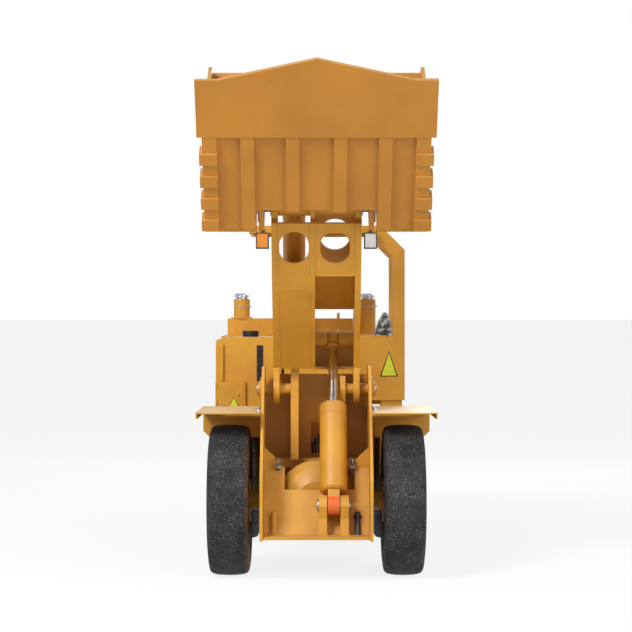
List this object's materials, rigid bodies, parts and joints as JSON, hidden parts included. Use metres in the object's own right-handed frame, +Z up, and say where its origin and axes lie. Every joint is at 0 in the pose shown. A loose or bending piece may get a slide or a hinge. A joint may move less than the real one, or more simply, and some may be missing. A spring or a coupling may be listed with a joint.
{
  "type": "underground mining loader",
  "caption": "Articulated low-profile mining loader with a raised, rolled-back bucket on a lifting boom, four driven wheels, side-seat operator's space and canopy.",
  "frame": {"origin": "middle of the whole machine's footprint on the floor, with the bucket raised as pictured", "axes": "-Y towards the bucket, +X to the side of the operator's seat, +Z up"},
  "size_m": [1.664, 5.1274, 3.5254],
  "materials": {
    "paint": "yellow enamel",
    "dark_paint": "dark grey enamel",
    "tyre": "worn rubber",
    "chrome": "polished",
    "pin_steel": "machined",
    "engine_iron": "cast",
    "cap": "satin",
    "seat": "black vinyl",
    "lamp": "clear lens in a grey case"
  },
  "bodies": {
    "rear_chassis": {"rear_frame": "paint", "rear_axle": "paint", "steering_hinge_pins": "pin_steel", "side_tank": "paint", "front_locker": "paint", "cab_tub": "paint", "control_console": "dark_paint", "seat_base": "dark_paint", "seat_cushion": "seat", "seat_back": "seat", "canopy": "paint", "lamp_front_left": "lamp", "lamp_front_right": "lamp", "lamp_rear_left": "lamp", "lamp_rear_right": "lamp", "engine_hood": "paint", "radiator_grille": "dark_paint", "engine_block": "engine_iron", "breather_left": "paint", "breather_right": "paint", "breather_cap_left": "cap", "breather_cap_right": "cap", "side_step": "paint"},
    "front_chassis": {"front_frame": "paint", "front_axle": "paint", "front_frame_pins": "pin_steel", "front_guard_left": "paint", "front_guard_right": "paint"},
    "wheel_front_left": {"tyre_front_left": "tyre", "rim_front_left": "paint"},
    "wheel_front_right": {"tyre_front_right": "tyre", "rim_front_right": "paint"},
    "wheel_rear_left": {"tyre_rear_left": "tyre", "rim_rear_left": "paint"},
    "wheel_rear_right": {"tyre_rear_right": "tyre", "rim_rear_right": "paint"},
    "boom": {"boom": "paint"},
    "bucket_pin": {"bucket_hinge_pin": "pin_steel"},
    "bucket": {"bucket_shell": "paint", "cutting_edge": "paint"},
    "lift_barrel": {"lift_barrel": "paint"},
    "lift_rod": {"lift_rod": "chrome"},
    "tilt_barrel": {"tilt_barrel": "paint"},
    "tilt_rod": {"tilt_rod": "chrome"},
    "steer_barrel_left": {"steer_barrel_left": "paint"},
    "steer_barrel_right": {"steer_barrel_right": "paint"},
    "steer_rod_left": {"steer_rod_left": "chrome"},
    "steer_rod_right": {"steer_rod_right": "chrome"}
  },
  "joints": [
    {"name": "steering", "type": "hinge", "parent": "rear_chassis", "child": "front_chassis", "pos_m": [0, 0.10375, 0.735], "axis": [0, 0, 1], "range_deg": [-38, 38]},
    {"name": "wheel_front_left_spin", "type": "hinge", "parent": "front_chassis", "child": "wheel_front_left", "pos_m": [-0.607, -0.99626, 0.5275], "axis": [1, 0, 0], "continuous": true},
    {"name": "wheel_front_right_spin", "type": "hinge", "parent": "front_chassis", "child": "wheel_front_right", "pos_m": [0.607, -0.99626, 0.5275], "axis": [1, 0, 0], "continuous": true},
    {"name": "wheel_rear_left_spin", "type": "hinge", "parent": "rear_chassis", "child": "wheel_rear_left", "pos_m": [-0.607, 1.30374, 0.5275], "axis": [1, 0, 0], "continuous": true},
    {"name": "wheel_rear_right_spin", "type": "hinge", "parent": "rear_chassis", "child": "wheel_rear_right", "pos_m": [0.607, 1.30374, 0.5275], "axis": [1, 0, 0], "continuous": true},
    {"name": "boom_lift", "type": "hinge", "parent": "front_chassis", "child": "boom", "pos_m": [0, -0.79626, 1.3], "axis": [1, 0, 0], "range_deg": [0, 100]},
    {"name": "bucket_pin_turn", "type": "hinge", "parent": "boom", "child": "bucket_pin", "pos_m": [0, -1.58124, 2.55876], "axis": [1, 0, 0], "range_deg": [-89, 0]},
    {"name": "bucket_tilt", "type": "hinge", "parent": "bucket_pin", "child": "bucket", "pos_m": [0, -1.58124, 2.55876], "axis": [1, 0, 0], "range_deg": [0, 90]},
    {"name": "lift_barrel_swing", "type": "hinge", "parent": "front_chassis", "child": "lift_barrel", "pos_m": [0.118, -1.35625, 0.52], "axis": [1, 0, 0], "range_deg": [0, 21]},
    {"name": "lift_rod_slide", "type": "slide", "parent": "lift_barrel", "child": "lift_rod", "axis": [0, 0.5027, 0.8645], "range_m": [-0.45, 0]},
    {"name": "tilt_barrel_swing", "type": "hinge", "parent": "front_chassis", "child": "tilt_barrel", "pos_m": [-0.155, -0.79626, 1.501], "axis": [1, 0, 0], "range_deg": [0, 108]},
    {"name": "tilt_rod_slide", "type": "slide", "parent": "tilt_barrel", "child": "tilt_rod", "axis": [0, -0.433, 0.9014], "range_m": [0, 0.3]},
    {"name": "steer_barrel_left_swing", "type": "hinge", "parent": "rear_chassis", "child": "steer_barrel_left", "pos_m": [-0.2, 0.24874, 0.735], "axis": [0, 0, 1], "range_deg": [-29, 29]},
    {"name": "steer_rod_left_slide", "type": "slide", "parent": "steer_barrel_left", "child": "steer_rod_left", "axis": [0, -1, 0], "range_m": [-0.13, 0.13]},
    {"name": "steer_barrel_right_swing", "type": "hinge", "parent": "rear_chassis", "child": "steer_barrel_right", "pos_m": [0.2, 0.24874, 0.735], "axis": [0, 0, 1], "range_deg": [-29, 29]},
    {"name": "steer_rod_right_slide", "type": "slide", "parent": "steer_barrel_right", "child": "steer_rod_right", "axis": [0, -1, 0], "range_m": [-0.13, 0.13]}
  ],
  "couplings": [
    {"joint": "bucket_pin_turn", "follows": "boom_lift", "ratio": -0.888},
    {"joint": "lift_barrel_swing", "follows": "boom_lift", "ratio": 0.205},
    {"joint": "lift_rod_slide", "follows": "boom_lift", "m_per_rad": -0.252},
    {"joint": "tilt_barrel_swing", "follows": "boom_lift", "ratio": 1.07},
    {"joint": "tilt_rod_slide", "follows": "bucket_tilt", "m_per_rad": 0.19},
    {"joint": "steer_barrel_left_swing", "follows": "steering", "ratio": 0.74},
    {"joint": "steer_barrel_right_swing", "follows": "steering", "ratio": 0.74},
    {"joint": "steer_rod_left_slide", "follows": "steering", "m_per_rad": 0.194},
    {"joint": "steer_rod_right_slide", "follows": "steering", "m_per_rad": -0.194}
  ]
}
